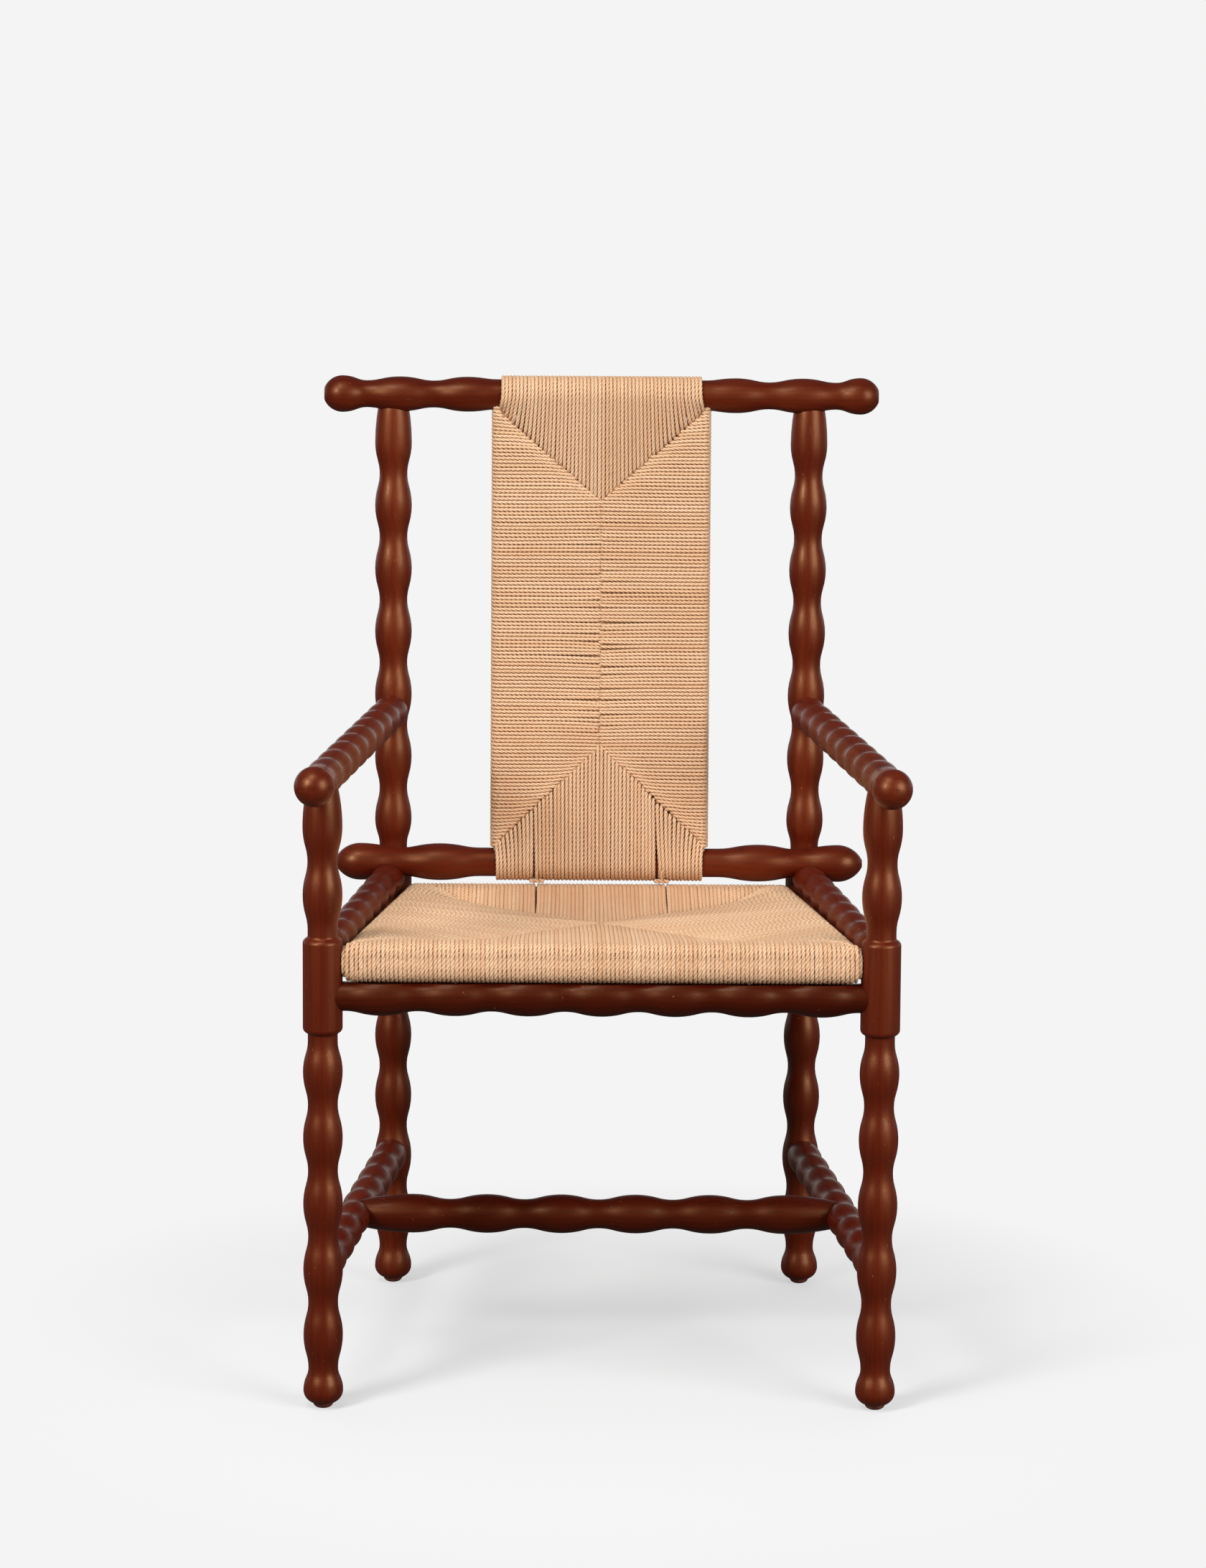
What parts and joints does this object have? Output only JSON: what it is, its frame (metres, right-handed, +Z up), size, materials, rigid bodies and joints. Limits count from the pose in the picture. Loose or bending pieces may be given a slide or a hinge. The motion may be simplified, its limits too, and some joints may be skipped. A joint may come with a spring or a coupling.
{
  "type": "lamu chair",
  "caption": "Armchair with a wavy turned hardwood frame, an H stretcher, a woven paper-cord seat and a narrow woven back panel.",
  "frame": {"origin": "on the floor, under the middle of the whole chair's box", "axes": "+Z up; the sitter faces -Y and the back rest is towards +Y; +X is the right-hand side seen from the front"},
  "size_m": [0.6056, 0.5356, 1.0014],
  "materials": {
    "turned_wood": "reddish-brown stain under satin lacquer",
    "frame_wood": "bare planed wood",
    "paper_cord": "matte twisted paper cord",
    "glide": "smooth plastic",
    "screw": "zinc plated"
  },
  "bodies": {
    "root": {"crest_rail": "turned_wood", "lower_back_rail": "turned_wood", "front_post_left": "turned_wood", "front_post_right": "turned_wood", "rear_post_left": "turned_wood", "rear_post_right": "turned_wood", "arm_left": "turned_wood", "arm_right": "turned_wood", "front_seat_rail": "turned_wood", "rear_seat_rail": "turned_wood", "side_seat_rail_left": "turned_wood", "side_seat_rail_right": "turned_wood", "side_stretcher_left": "turned_wood", "side_stretcher_right": "turned_wood", "cross_stretcher": "turned_wood", "seat_frame_front": "frame_wood", "seat_frame_back": "frame_wood", "seat_frame_left": "frame_wood", "seat_frame_right": "frame_wood", "seat_frame_dowels": "frame_wood", "panel_stile_left": "frame_wood", "panel_stile_right": "frame_wood", "seat_weave": "paper_cord", "back_weave": "paper_cord", "back_ties": "paper_cord", "foot_glides": "glide", "seat_screws": "screw", "back_rail_screws": "screw"}
  },
  "joints": []
}
